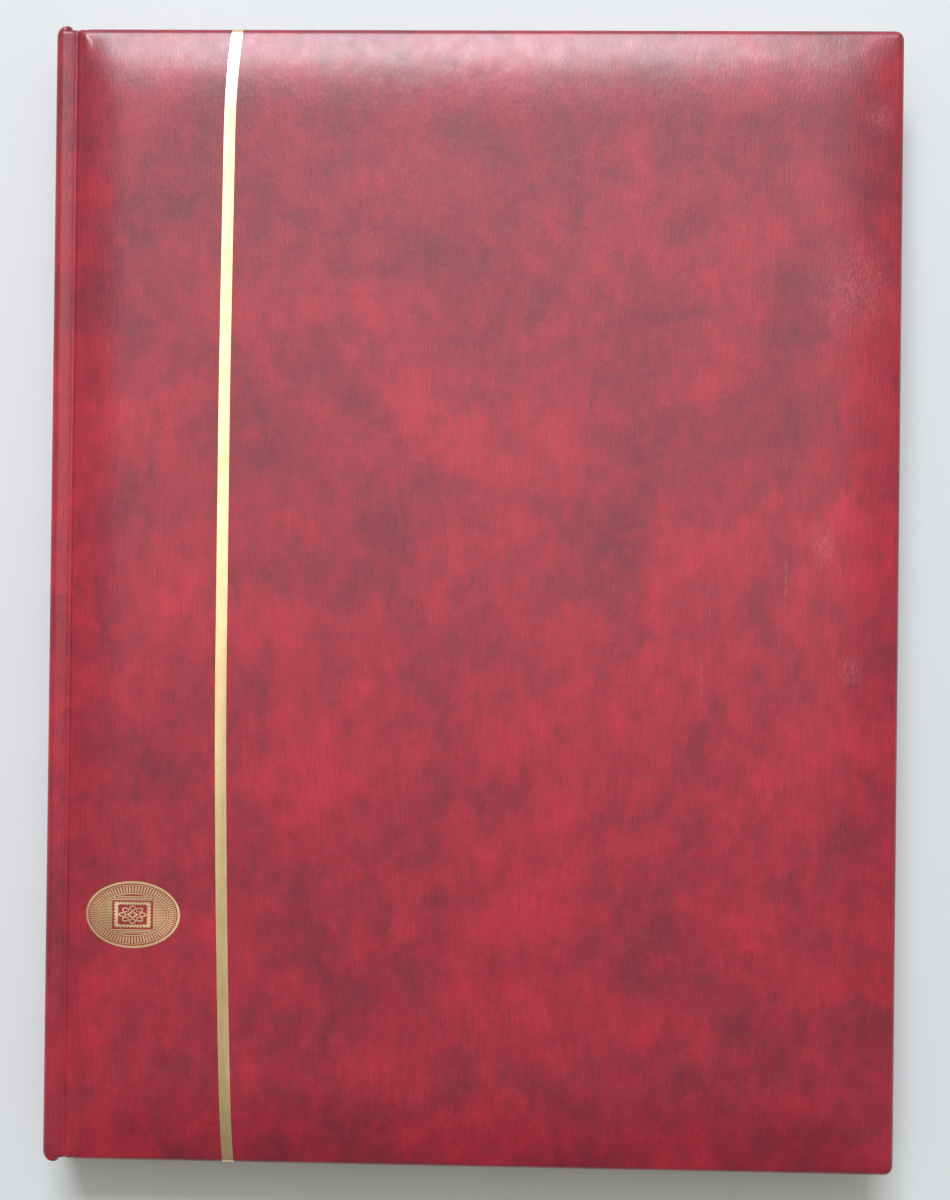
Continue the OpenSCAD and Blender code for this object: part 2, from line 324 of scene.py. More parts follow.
def leatherette_material():
    """Marbled dark red leatherette with fine grain that runs up the cover, and painted shade that darkens
    it towards the head and the tail.
    """
    s = Shader("leatherette_marbled")
    at = s.rest()
    cloudy = s.warped(at, 38.0, 0.012)
    large = s.noise(cloudy, 34.0, detail=6.0, roughness=0.62)
    torn = s.scaled(s.warped(at, 90.0, 0.008), 170.0, 110.0, 170.0)
    small = s.noise(torn, 1.0, detail=5.0, roughness=0.6)
    marble = s.maths("ADD", s.maths("MULTIPLY", large, 0.62), s.maths("MULTIPLY", small, 0.38))
    colour = s.ramp(marble, LEATHER_COLOURS)
    hair = s.noise(s.scaled(at, 3600.0, 130.0, 3600.0), 1.0, detail=3.0, roughness=0.6)
    # Painted shade: the colour is a little darker towards the head and the tail than in the middle, where
    # the light falls off over the padding's rolls
    up_page = s.node("SeparateXYZ", Vector=at).outputs["Y"]
    painted_tail_shade = s.remap(up_page, -0.15, -0.02, 0.80, 1.0)
    painted_end_shade = s.maths("MULTIPLY", painted_tail_shade, s.remap(up_page, 0.0, 0.13, 0.99, 0.79))
    grain_and_painted_shade = s.maths("MULTIPLY", s.remap(hair, 0.3, 0.7, 0.77, 1.15), painted_end_shade)
    grey = s.node("CombineColor", Red=grain_and_painted_shade, Green=grain_and_painted_shade, Blue=grain_and_painted_shade).outputs[0]
    streaked_with_painted_shade = s.mix(1.0, colour, grey, "MULTIPLY")
    rubbed = s.spot(at, *SCUFFS[0])
    for centre, radius in SCUFFS[1:]:
        rubbed = s.maths("MAXIMUM", rubbed, s.spot(at, centre, radius))
    flecks = s.noise(s.scaled(at, 1900.0, 700.0, 1900.0), 1.0, detail=4.0, roughness=0.7)
    scuff = s.maths("MULTIPLY", rubbed, s.remap(flecks, 0.42, 0.66, 0.0, 0.34), clamp=True)
    # The base colour carries the grain, the marbling, the rubbed places and the painted shade towards head
    # and tail
    s.link(s.mix(scuff, streaked_with_painted_shade, RUBBED_COLOUR), "Base Color")
    rough = s.remap(s.noise(at, 260.0, detail=3.0), 0.3, 0.7, 0.38, 0.50)
    s.link(s.maths("ADD", rough, s.maths("MULTIPLY", scuff, 0.25), clamp=True), "Roughness")
    s.set(Specular_IOR_Level=0.5, Coat_Weight=0.34, Coat_Roughness=0.22)
    s.set(Sheen_Weight=0.04, Sheen_Roughness=0.5)
    grain = s.cells(s.scaled(at, 1500.0, 620.0, 1500.0), 1.0)
    s.bump((hair, 0.00006), (grain, 0.00004), (large, 0.0002))
    return s.material


FOIL_COLOURS = ((0.84, 0.63, 0.33, 1.0), (0.92, 0.73, 0.42, 1.0))


def foil_material():
    """Hot-stamped gold foil with fine brushed lines and uneven tone."""
    s = Shader("gold_foil")
    at = s.rest()
    lines = s.noise(s.scaled(at, 5200.0, 90.0, 5200.0), 1.0, detail=2.0)
    tone = s.noise(at, 160.0, detail=3.0)
    s.link(s.mix(s.remap(tone, 0.3, 0.7, 0.0, 1.0), *FOIL_COLOURS), "Base Color")
    s.link(s.remap(lines, 0.3, 0.7, 0.26, 0.42), "Roughness")
    s.set(Metallic=1.0, Anisotropic=0.35)
    s.bump((lines, 0.00001), (s.noise(at, 700.0, detail=3.0), 0.00002))
    return s.material


def paper_material(name, colour, dark, fibre=1500.0):
    """Uncoated paper or card with fibres and a faint mottle."""
    s = Shader(name)
    at = s.local()
    mottle = s.noise(at, 90.0, detail=4.0)
    fibres = s.noise(s.scaled(s.warped(at, 500.0, 0.0006), fibre, fibre * 0.25, fibre), 1.0, detail=3.0)
    blend = s.maths("ADD", s.maths("MULTIPLY", mottle, 0.6), s.maths("MULTIPLY", fibres, 0.4))
    s.link(s.mix(s.remap(blend, 0.35, 0.65, 0.0, 1.0), dark, colour), "Base Color")
    s.link(s.remap(fibres, 0.3, 0.7, 0.62, 0.8), "Roughness")
    s.set(Specular_IOR_Level=0.3)
    s.bump((fibres, 0.00003), (mottle, 0.00006))
    return s.material


# The wave texture's scale that gives the linen a thread about every 0.5 mm
THREAD_SCALE = 600.0


def linen_material(at_rest=True):
    """Plain-woven white binder's linen, with a thread about every 0.5 mm."""
    s = Shader("binders_linen" if at_rest else "binders_linen_laid")
    at = s.rest() if at_rest else s.local()
    uneven = s.warped(at, 160.0, 0.0004)
    warp = s.wave(uneven, THREAD_SCALE, "X")
    weft = s.wave(uneven, THREAD_SCALE, "Y")
    weave = s.maths("MAXIMUM", warp, weft)
    s.link(s.ramp(weave, [(0.2, (0.60, 0.57, 0.50)), (0.9, (0.86, 0.84, 0.78))]), "Base Color")
    s.set(Roughness=0.85, Specular_IOR_Level=0.2, Sheen_Weight=0.25, Sheen_Roughness=0.6)
    s.bump((weave, 0.00008), (s.noise(at, 2500.0), 0.00003))
    return s.material


def stacked_linen_material():
    """Linen guards glued in a stack: the layers show as thin lines at the ends."""
    s = Shader("stacked_guards")
    at = s.local()
    layers = s.wave(s.warped(at, 300.0, 0.0002), 200.0, "Z", 0.6)
    thread = s.wave(at, THREAD_SCALE, "Y")
    tone = s.maths("MULTIPLY", s.remap(layers, 0.0, 0.6, 0.55, 1.0), s.remap(thread, 0.0, 1.0, 0.85, 1.0))
    s.link(s.ramp(tone, [(0.3, (0.42, 0.38, 0.30)), (0.95, (0.82, 0.79, 0.70))]), "Base Color")
    s.set(Roughness=0.8, Specular_IOR_Level=0.25)
    s.bump((layers, 0.0001), (thread, 0.00005))
    return s.material


def foam_material():
    s = Shader("foam_cells")
    at = s.local()
    pores = s.cells(at, 1400.0)
    s.link(s.ramp(pores, [(0.1, (0.62, 0.57, 0.44)), (0.6, (0.86, 0.83, 0.72))]), "Base Color")
    s.set(Roughness=0.95, Specular_IOR_Level=0.1)
    s.bump((pores, 0.0002), (s.noise(at, 300.0), 0.0002))
    return s.material


def greyboard_material():
    s = Shader("grey_binders_board")
    at = s.local()
    specks = s.noise(at, 1300.0, detail=4.0, roughness=0.75)
    plies = s.wave(s.warped(at, 200.0, 0.0003), 900.0, "Z", 1.0)
    tone = s.maths("ADD", s.maths("MULTIPLY", specks, 0.75), s.maths("MULTIPLY", plies, 0.25))
    s.link(s.ramp(tone, [(0.3, (0.15, 0.14, 0.12)), (0.7, (0.36, 0.34, 0.30))]), "Base Color")
    s.set(Roughness=0.9, Specular_IOR_Level=0.2)
    s.bump((specks, 0.00008), (plies, 0.00004))
    return s.material


def wire_material():
    s = Shader("galvanised_wire")
    at = s.local()
    drawn = s.noise(s.scaled(at, 4000.0, 200.0, 4000.0), 1.0)
    s.link(s.mix(drawn, (0.46, 0.46, 0.47, 1.0), (0.70, 0.70, 0.71, 1.0)), "Base Color")
    s.link(s.remap(drawn, 0.3, 0.7, 0.25, 0.45), "Roughness")
    s.set(Metallic=1.0)
    s.bump((drawn, 0.00002), (s.noise(at, 1500.0), 0.00002))
    return s.material


def film_material():
    """Milky glassine of the pocket strips, a little clearer in its thin places."""
    s = Shader("pocket_film", alpha=True)
    at = s.local()
    mottle = s.noise(at, 70.0, detail=3.0, roughness=0.5)
    ripple = s.noise(s.scaled(at, 18.0, 90.0, 18.0), 1.0, detail=2.0)
    s.link(s.mix(mottle, (0.74, 0.76, 0.74, 1.0), (0.88, 0.89, 0.86, 1.0)), "Base Color")
    s.link(s.remap(mottle, 0.3, 0.7, 0.36, 0.54), "Alpha")
    s.link(s.remap(mottle, 0.3, 0.7, 0.26, 0.40), "Roughness")
    s.set(Specular_IOR_Level=0.5)
    s.bump((ripple, 0.0005), (mottle, 0.00004))
    return s.material


def glassine_material():
    """Translucent interleaf sheet with soft creases."""
    s = Shader("glassine_sheet", alpha=True)
    at = s.local()
    fibres = s.noise(s.warped(at, 260.0, 0.002), 420.0, detail=5.0, roughness=0.7)
    crease = s.cells(s.warped(at, 30.0, 0.02), 26.0, "DISTANCE_TO_EDGE")
    s.link(s.mix(fibres, (0.78, 0.77, 0.70, 1.0), (0.90, 0.89, 0.83, 1.0)), "Base Color")
    s.link(s.remap(fibres, 0.3, 0.7, 0.42, 0.6), "Alpha")
    s.link(s.remap(fibres, 0.3, 0.7, 0.28, 0.42), "Roughness")
    s.bump((s.remap(crease, 0.0, 0.12, 0.0, 1.0), 0.00025), (fibres, 0.00003))
    return s.material


def table_material():
    s = Shader("pale_table")
    at = s.local()
    mottle = s.noise(at, 14.0, detail=3.0)
    s.link(s.mix(mottle, (0.55, 0.575, 0.575, 1.0), (0.585, 0.61, 0.61, 1.0)), "Base Color")
    s.set(Roughness=0.6, Specular_IOR_Level=0.3)
    s.bump((s.noise(at, 900.0), 0.00003), (mottle, 0.0002))
    return s.material


LEATHERETTE = leatherette_material()
FOIL = foil_material()
LINEN = linen_material()

# ---------------------------------------------------------------- padded covers

# The cover's thickness in its middle and at its edges, and how far in from the edges
# and from the joint the padding reaches its full height
COVER_T = FRONT_HIGH[2] - FRONT_LOW[2]
EDGE_T = 3.4 * MM
ROLL_W = 24 * MM
JOINT_ROLL_W = 15 * MM
CORNER_R = 2.6 * MM
LIP_R = 1.45 * MM
INNER_R = 0.7 * MM
TURN_IN_W = 15 * MM
SKIN_T = 0.45 * MM
ARC_STEPS = 6
SIDE_STEPS = (44, 60)
FALL_POWER = 2.2
# The room that the skin has over the foam inside a corner, and where it starts and is full
CORNER_SPARE = 0.34 * MM
SPARE_FROM = 1.8 * MM
SPARE_RAMP = 5 * MM
# The depth of the padding's dents, and the most that swell() can give
UNEVEN = 0.03 * MM
SWELL_MOST = 1.6


def fall(distance, width):
    """How far the padding has dropped at a distance from an edge, from 1 to 0."""
    return (1 - np.clip(distance / width, 0, 1)) ** FALL_POWER


def swell(x, y):
    """Slow waves over the padding, 5 to 13 cm long, between -1.6 and 1.6."""
    return np.sin(x * 61 + 1.3) * np.sin(y * 47 + 0.4) + 0.6 * np.sin(x * 113 - y * 71)


def crown(x, y):
    """Height of the padded face over the cover's inner face, before the edge's round lip."""
    low, high = FRONT_LOW, FRONT_HIGH
    x, y = np.broadcast_arrays(x, y)
    falls = [
        fall(x - low[0], JOINT_ROLL_W), fall(high[0] - x, ROLL_W),
        fall(y - low[1], ROLL_W), fall(high[1] - y, ROLL_W),
    ]
    # Two falls meet softly at a corner, but the skin stays above the foam under it
    mitred = np.maximum.reduce(falls)
    inside = np.minimum.reduce([x - low[0], high[0] - x, y - low[1], high[1] - y])
    room_left = np.clip((inside - SPARE_FROM) / SPARE_RAMP, 0, 1)
    spare = CORNER_SPARE * room_left / (COVER_T - EDGE_T)
    drop = mitred + np.minimum(sum(f ** 3 for f in falls) ** (1 / 3) - mitred, spare)
    dents = UNEVEN * (1 + swell(x, y) / SWELL_MOST) * np.clip(1 - drop, 0, 1) ** 2
    return EDGE_T + (COVER_T - EDGE_T) * (1 - drop) - dents


def lip(d):
    """Drop of the round edge at distance d inside the cover's outline."""
    d = np.clip(d, 0, LIP_R)
    return LIP_R - np.sqrt(LIP_R ** 2 - (LIP_R - d) ** 2)


def outline(d):
    """The cover's outline moved inwards by d: round corners, then the sides between them."""
    low, high = FRONT_LOW[:2] + d, FRONT_HIGH[:2] - d
    r = max(CORNER_R - d, 0)
    corners = [(high[0], low[1], -90), (high[0], high[1], 0), (low[0], high[1], 90), (low[0], low[1], 180)]
    points = []
    for n, (cx, cy, start) in enumerate(corners):
        centre = np.array([cx - r * np.sign(cx), cy - r * np.sign(cy)])
        turn = np.radians(start + np.linspace(0, 90, ARC_STEPS + 1))
        arc = centre + r * np.stack([np.cos(turn), np.sin(turn)], 1)
        points += list(arc)
        cx2, cy2, start2 = corners[(n + 1) % 4]
        after = np.array([cx2 - r * np.sign(cx2), cy2 - r * np.sign(cy2)])
        after += r * np.array([math.cos(math.radians(start2)), math.sin(math.radians(start2))])
        steps = SIDE_STEPS[1 if n % 2 == 0 else 0]
        for i in range(1, steps):
            points.append(arc[-1] + (after - arc[-1]) * i / steps)
    return np.array(points)


# Loops of the leatherette from the edge of its turn-in, round the lip, to the
# flat of the padding: (distance inside the outline, height or None for the crown).
# PADDED is in mm.
TURNED = [(TURN_IN_W, 0.0), (9 * MM, 0.0), (4 * MM, 0.0), (INNER_R, 0.0), (INNER_R * 0.3, INNER_R * 0.3),
          (0.0, INNER_R), (0.0, 1.25 * MM)]
PADDED = [0.0, 0.1, 0.3, 0.6, 0.9, 1.25, 1.6, 2.1, 2.6, 3.6, 5, 7, 9, 11.5, 14, 17, 20.5, 24, 27]
LOOPS = TURNED + [(d * MM, None) for d in PADDED]


def cover_height(x, y, d):
    """Height of the padded face at a point d inside the outline."""
    return crown(x, y) - lip(d)


def cover_sheet():
    """(points, faces) of one cover's leatherette with its inner face at z = 0."""
    rows = []
    for d, height in LOOPS:
        flat = outline(d)
        z = cover_height(flat[:, 0], flat[:, 1], d) if height is None else np.full(len(flat), height)
        rows.append(np.column_stack([flat, z]))
    points, faces = loft(rows, closed=True)
    last = rows[-1]
    low, high = last[:, :2].min(0), last[:, :2].max(0)
    nx, ny = SIDE_STEPS
    xs, ys = np.linspace(low[0], high[0], nx + 1), np.linspace(low[1], high[1], ny + 1)
    gx, gy = np.meshgrid(xs, ys)
    grid = np.stack([gx, gy, crown(gx, gy)], -1)
    middle = loft(grid)
    return joined([(points, faces), middle])


WELD_REACH = 0.01 * MM


def weld(obj):
    """Merges the points that fall together where sheets meet and corners close."""
    m = obj.modifiers.new("weld", "WELD")
    m.merge_threshold = WELD_REACH


def cover(side, z_inner, up):
    """A cover's leatherette: padded face, round edges and turn-ins. up is 1 or -1."""
    points, faces = cover_sheet()
    points[:, 2] = z_inner + up * points[:, 2]
    if up < 0:
        faces = [f[::-1] for f in faces]
    obj = add_mesh(side + "_cover_padding", points, faces, LEATHERETTE)
    weld(obj)
    solidify(obj, SKIN_T)
    apply_modifiers(obj)
    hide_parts(side + "_leatherette")
    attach(obj, side + "_cover")


cover("front", FRONT_LOW[2], 1)
cover("back", BACK_HIGH[2], -1)

# ------------------------------------------------------------------------ spine

SPINE_T = SPINE_HIGH[0] - SPINE_LOW[0]
SPINE_R = SPINE_T / 2
SPINE_CORNER_R = 2.8 * MM
SPINE_LIP_R = 0.9 * MM
ROLL_STEPS = 16
SIDE_BITS = 8
# Distances from an end of the spine, in mm, at which its section is drawn
SPINE_ENDS = [0.0, 0.05, 0.15, 0.3, 0.6, 0.9, 1.3, 1.8, 2.3, 2.8]
SPINE_MIDDLE = 8 * MM
SPINE_ROWS = 60
# At head and tail the section narrows by this share of the corner's inset
SPINE_NARROWING = 0.8


def stadium(inset):
    """Outline of the spine's section, moved inwards: (x, z) round its two rolls."""
    x = (SPINE_LOW[0] + SPINE_HIGH[0]) / 2
    r = SPINE_R - inset
    points = []
    for z, start in ((SPINE_HIGH[2] - SPINE_R, 0), (SPINE_LOW[2] + SPINE_R, 180)):
        for t in np.radians(start + np.linspace(0, 180, ROLL_STEPS + 1)):
            points.append((x + r * math.cos(t), z + r * math.sin(t)))
    between = []
    for a, b in ((points[ROLL_STEPS], points[ROLL_STEPS + 1]), (points[-1], points[0])):
        shares = [i / SIDE_BITS for i in range(1, SIDE_BITS)]
        between.append([(a[0] + (b[0] - a[0]) * t, a[1] + (b[1] - a[1]) * t) for t in shares])
    return np.array(points[:ROLL_STEPS + 1] + between[0] + points[ROLL_STEPS + 1:] + between[1])


def quarter(d, r):
    """Inset of a round corner of radius r at distance d along its side."""
    d = min(d, r)
    return r - math.sqrt(r ** 2 - (r - d) ** 2)


def spine():
    """The spine's leatherette: a long roll whose outer corners are round at head and tail."""
    rows = []
    half = SPINE_HIGH[1]
    steps = [(-half + d * MM, d * MM) for d in SPINE_ENDS]
    middle = np.linspace(SPINE_MIDDLE - half, half - SPINE_MIDDLE, SPINE_ROWS)
    steps += [(y, SPINE_CORNER_R) for y in middle]
    steps += [(half - d * MM, d * MM) for d in reversed(SPINE_ENDS)]
    for y, d in steps:
        section = stadium(quarter(d, SPINE_LIP_R))
        narrow = 1 - SPINE_NARROWING * quarter(d, SPINE_CORNER_R) / SPINE_T
        x = SPINE_HIGH[0] - (SPINE_HIGH[0] - section[:, 0]) * narrow
        rows.append(np.column_stack([x, np.full(len(section), y), section[:, 1]]))
    points, faces = loft(rows, closed=True, flip=True)
    count = len(rows[0])
    faces.append(tuple(range(count)))
    faces.append(tuple(reversed(range(len(points) - count, len(points)))))
    obj = add_mesh("spine_roll", points, faces, LEATHERETTE)
    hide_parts("spine_leatherette")
    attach(obj, "spine")


spine()

# ----------------------------------------------------------------------- joints


def rounded(path, steps):
    """A smooth line through the points of a path, as a Catmull-Rom curve."""
    p = np.array([2 * np.array(path[0]) - path[1], *path, 2 * np.array(path[-1]) - path[-2]], float)
    out = []
    for i in range(1, len(p) - 2):
        for t in np.linspace(0, 1, steps, endpoint=False):
            a, b, c, d = p[i - 1:i + 3]
            out.append(0.5 * (2 * b + (c - a) * t + (2 * a - 5 * b + 4 * c - d) * t * t
                              + (3 * b - a - 3 * c + d) * t ** 3))
    out.append(p[-2])
    return np.array(out)


# Section of a joint's leatherette about the joint's axis, in mm: over the spine's
# roll, down into the crease and up over the cover's edge
CREASE = [(-3.3, 1.64), (-2.75, 2.0), (-2.1, 2.15), (-1.5, 2.12), (-0.8, 1.98), (0.0, 1.78), (0.7, 1.55),
          (1.2, 1.33), (1.5, 1.27), (1.8, 1.38), (2.2, 1.7), (2.7, 1.97)]
CREASE_MERGE_X = 3.5 * MM
CREASE_END_X = 6.6 * MM
CREASE_T = 0.3 * MM
# The crease stops just inside the covers' head and tail, and its tail sinks from LIFT to SINK
CREASE_INSET = 0.15 * MM
CREASE_LIFT = 0.03 * MM
CREASE_SINK = -0.07 * MM
FACE_STEPS = 6
CREASE_STEPS = 4
# Distances from an end, in mm, at which a crease's section is drawn
END_ROWS = [0.0, 0.1, 0.3, 0.6, 0.9, 1.25, 1.6, 2.6, 4, 7, 11, 16, 24]


def length_rows(low, high, between=40):
    """(place along Y, distance from the nearer end) from one end to the other."""
    rows = [(low + d * MM, d * MM) for d in END_ROWS]
    inner = END_ROWS[-1] * MM
    rows += [(y, inner) for y in np.linspace(low + inner, high - inner, between)[1:-1]]
    rows += [(high - d * MM, d * MM) for d in reversed(END_ROWS)]
    return rows


def section_row(path, y, centre, up=1):
    """The points of a section about a centre, placed at y. Its heights turn over where up is -1."""
    return np.column_stack([centre[0] + path[:, 0], np.full(len(path), y), centre[2] + up * path[:, 1]])


def joint_leatherette(side, up):
    """The leatherette that bends at a joint, from the spine's roll to the cover's padding."""
    hinge = HINGES["front_cover_hinge" if up > 0 else "spine_hinge"]
    inner = FRONT_LOW[2] - HINGES["front_cover_hinge"][2]
    edge = FRONT_LOW[0] - hinge[0]
    rows = []
    # The valley, and then a tail that sinks through the padded face so that no edge shows
    on_face = np.linspace(CREASE_MERGE_X, CREASE_END_X, FACE_STEPS)
    sunk = np.linspace(CREASE_LIFT, CREASE_SINK, FACE_STEPS)
    for y, d in length_rows(FRONT_LOW[1] + CREASE_INSET, FRONT_HIGH[1] - CREASE_INSET):
        near = np.minimum(on_face - edge, d)
        face = inner + cover_height(hinge[0] + on_face, y, near) + sunk
        drop = lip(d)
        valley = [(x * MM, z * MM - drop) for x, z in CREASE]
        path = rounded(valley + list(zip(on_face, face)), CREASE_STEPS)
        rows.append(section_row(path, y, hinge, up))
    points, faces = loft(rows, flip=up < 0)
    obj = solidify(add_mesh(side + "_joint_crease", points, faces, LEATHERETTE), CREASE_T)
    apply_modifiers(obj)
    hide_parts(side + "_joint_leatherette")
    bend(obj)


def bend(obj):
    """Bakes a joint's piece's placing into its mesh."""
    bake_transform(obj)


# Section of the cloth inside a joint about its axis, in mm: it ends under the endpaper
CLOTH = [(0.38, -3.1), (0.42, -2.5), (0.8, -2.05), (1.6, -1.82), (2.6, -1.74), (5.0, -1.71), (12.3, -1.71)]
CLOTH_T = 0.12 * MM
CLOTH_STEPS = 5
CLOTH_ROWS = 50


def joint_cloth(side, up):
    """The strip of cloth that covers a joint from inside."""
    hinge = HINGES["front_cover_hinge" if up > 0 else "spine_hinge"]
    low, high = span(side + "_joint_cloth")
    path = rounded([(x * MM, z * MM) for x, z in CLOTH], CLOTH_STEPS)
    rows = [section_row(path, y, hinge, up) for y in np.linspace(low[1], high[1], CLOTH_ROWS)]
    points, faces = loft(rows, flip=up > 0)
    obj = solidify(add_mesh(side + "_joint_lining", points, faces, LINEN), CLOTH_T, 0.0)
    apply_modifiers(obj)
    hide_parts(side + "_joint_cloth")
    bend(obj)


for SIDE, UP in (("front", 1), ("back", -1)):
    joint_leatherette(SIDE, UP)
    joint_cloth(SIDE, UP)

# -------------------------------------------------------------------- gold foil

FOIL_LIFT = 0.05 * MM
FOIL_T = 0.04 * MM
LINE_LOW, LINE_HIGH = span("gold_line")
LINE_X = (LINE_LOW[0] + LINE_HIGH[0]) / 2
LINE_W = LINE_HIGH[0] - LINE_LOW[0]
# How far the line runs over the turn-ins, and where its even steps start
LINE_TURN_IN = 6 * MM
LINE_MIDDLE = 30 * MM
LINE_ROWS = 60
LINE_ACROSS = 5
# How the line leans towards the fore edge near its ends: (lean, length over which
# it fades, power of the fading)
TAIL_LEAN = (3.0 * MM, 132 * MM, 1.6)
HEAD_LEANS = [(1.2 * MM, 30 * MM, 2.0), (0.8 * MM, 100 * MM, 1.2)]


def lean(distance, most, length, power):
    """One lean of the line at a distance from the end that it belongs to."""
    return most * (1 - np.clip(distance / length, 0, 1)) ** power


def line_drift(from_tail, from_head):
    """How far the line leans to the fore edge where the leatherette is pulled round the ends."""
    return lean(from_tail, *TAIL_LEAN) + sum(lean(from_head, *each) for each in HEAD_LEANS)


def foil_line():
    """The foil line, from one turn-in over the padding to the other."""
    low, high = FRONT_LOW[1], FRONT_HIGH[1]
    half = [(d, h) for d, h in LOOPS if d < LINE_TURN_IN or h is None]
    ends = [(low + d, d, h) for d, h in half]
    middle = [(y, ROLL_W, None) for y in np.linspace(low + LINE_MIDDLE, high - LINE_MIDDLE, LINE_ROWS)]
    across = LINE_W * np.linspace(-0.5, 0.5, LINE_ACROSS)
    rows = []
    for y, d, height in ends + middle + [(high - d, d, h) for d, h in reversed(half)]:
        x = LINE_X + line_drift(y - low, high - y) + across
        z = cover_height(x, y, d) if height is None else np.full(len(x), height)
        rows.append(np.column_stack([x, np.full(len(x), y), FRONT_LOW[2] + z]))
    points, faces = loft(rows)
    obj = add_mesh("gold_foil_line", points, faces, FOIL)
    m = obj.modifiers.new("lift", "DISPLACE")
    m.strength = FOIL_LIFT
    m.mid_level = 0.0
    solidify(obj, FOIL_T)
    apply_modifiers(obj, crisp=True)
    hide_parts("gold_line")
    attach(obj, "front_cover")


foil_line()

EMBLEM_LOW, EMBLEM_HIGH = span("gold_emblem")
EMBLEM = (EMBLEM_LOW + EMBLEM_HIGH) / 2
EMBLEM_A = (EMBLEM_HIGH[0] - EMBLEM_LOW[0]) / 2
EMBLEM_B = (EMBLEM_HIGH[1] - EMBLEM_LOW[1]) / 2


def oval(inset, angles):
    return np.column_stack([(EMBLEM_A - inset) * np.cos(angles), (EMBLEM_B - inset) * np.sin(angles)])


def band(outer, inner, closed=True):
    """Flat faces between two lines of (x, y) points."""
    rows = [np.column_stack([p, np.zeros(len(p))]) for p in (inner, outer)]
    return loft(rows, closed=closed)


def ring(inset, width, steps=160):
    angles = np.linspace(0, 2 * math.pi, steps, endpoint=False)
    return band(oval(inset, angles), oval(inset + width, angles))


def rays(inset, length, count, share):
    """Short strokes across an oval band."""
    parts = []
    for k in range(count):
        a = 2 * math.pi * k / count
        spread = np.array([-1, 1]) * math.pi * share / count
        parts.append(band(oval(inset, a + spread), oval(inset + length, a + spread), closed=False))
    return parts


STAMP = (5.0 * MM, 3.5 * MM)
STAMP_TEETH = (11, 8)
TOOTH_STEPS = 8
TOOTH = 0.16 * MM


def perforated():
    """Outline of a small stamp, anticlockwise, with round teeth along each side."""
    points = []
    sides = [((-1, -1), (1, -1)), ((1, -1), (1, 1)), ((1, 1), (-1, 1)), ((-1, 1), (-1, -1))]
    for n, (a, b) in enumerate(sides):
        a, b = np.array(a) * STAMP, np.array(b) * STAMP
        along = (b - a) / np.linalg.norm(b - a)
        outward = np.array([along[1], -along[0]])
        steps = STAMP_TEETH[n % 2] * TOOTH_STEPS
        for i in range(steps):
            t = i / steps
            notch = TOOTH * (1 - math.cos(2 * math.pi * t * STAMP_TEETH[n % 2]))
            points.append(a + (b - a) * t - outward * notch)
    return np.array(points)


def rosette(radius_x, radius_y, petals, depth, width, steps=280):
    """A closed engine-turned line."""
    t = np.linspace(0, 2 * math.pi, steps, endpoint=False)
    swing = 1 + depth * np.cos(petals * t)
    mid = np.column_stack([radius_x * swing * np.cos(t), radius_y * swing * np.sin(t)])
    ahead = np.roll(mid, -1, 0) - np.roll(mid, 1, 0)
    side = np.column_stack([ahead[:, 1], -ahead[:, 0]]) / np.linalg.norm(ahead, axis=1)[:, None]
    return band(mid + side * width / 2, mid - side * width / 2)


# Bare leatherette left round the stamp, and the shortest engraved line
STAMP_MARGIN = (0.45 * MM, 0.35 * MM)
SHORTEST_LINE = 0.3 * MM
LINE_POINTS = 14


def engraved_lines(inset, pitch, width):
    """Level lines inside the oval, left out where the stamp is."""
    parts = []
    a, b = EMBLEM_A - inset, EMBLEM_B - inset
    for y in np.arange(-b + pitch, b - pitch / 2, pitch):
        reach = a * math.sqrt(max(0.0, 1 - (y / b) ** 2))
        spans = [(-reach, reach)]
        if abs(y) < STAMP[1] + STAMP_MARGIN[1]:
            side = STAMP[0] + STAMP_MARGIN[0]
            spans = [(-reach, -side), (side, reach)]
        for x0, x1 in spans:
            if x1 - x0 > SHORTEST_LINE:
                x = np.linspace(x0, x1, LINE_POINTS)
                under = np.column_stack([x, np.full(LINE_POINTS, y - width / 2)])
                over = np.column_stack([x, np.full(LINE_POINTS, y + width / 2)])
                parts.append(band(under, over, closed=False))
    return parts


# The emblem's rings (inset, width), rays (inset, length, count, share that is foil),
# level lines (inset, pitch, width) and rosettes (radii, petals, depth, width)
RINGS = [(0.0, 0.62 * MM), (0.95 * MM, 0.2 * MM), (3.15 * MM, 0.3 * MM)]
RAYS = (1.3 * MM, 1.7 * MM, 84, 0.56)
LEVEL_LINES = (3.6 * MM, 0.42 * MM, 0.25 * MM)
ROSETTES = [
    (3.1 * MM, 2.0 * MM, 8, 0.16, 0.3 * MM),
    (2.1 * MM, 1.35 * MM, 8, -0.16, 0.26 * MM),
    (1.0 * MM, 0.65 * MM, 4, 0.2, 0.45 * MM),
]
STAMP_FRAME = 0.8


def foil_emblem():
    """A generic oval device: rings, rays, engraved lines and a small perforated stamp."""
    edge = perforated()
    parts = [ring(*each) for each in RINGS]
    parts += rays(*RAYS)
    parts += engraved_lines(*LEVEL_LINES)
    parts.append(band(edge, edge * STAMP_FRAME))
    parts += [rosette(*each) for each in ROSETTES]
    points, faces = joined(parts)
    points[:, 0] += EMBLEM[0]
    points[:, 1] += EMBLEM[1]
    points[:, 2] = FRONT_LOW[2] + crown(points[:, 0], points[:, 1]) + FOIL_LIFT
    obj = solidify(add_mesh("gold_foil_emblem", points, faces, FOIL), FOIL_T, 0.0)
    apply_modifiers(obj, crisp=True)
    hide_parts("gold_emblem")
    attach(obj, "front_cover")


foil_emblem()

# ------------------------------------------------------------------ leaf guards

NOSE = HINGES["leaf_1_turn"]
GUARD_T = 0.16 * MM
ROOT_R = 2.3 * MM
TAPE_T = 0.07 * MM
# The gaps between a card and its guard, over its faces and at its edge
CARD_GAP = 0.01 * MM
EDGE_GAP = 0.02 * MM
# Degrees between two guards at the block
FLAP_STEP = 14.0
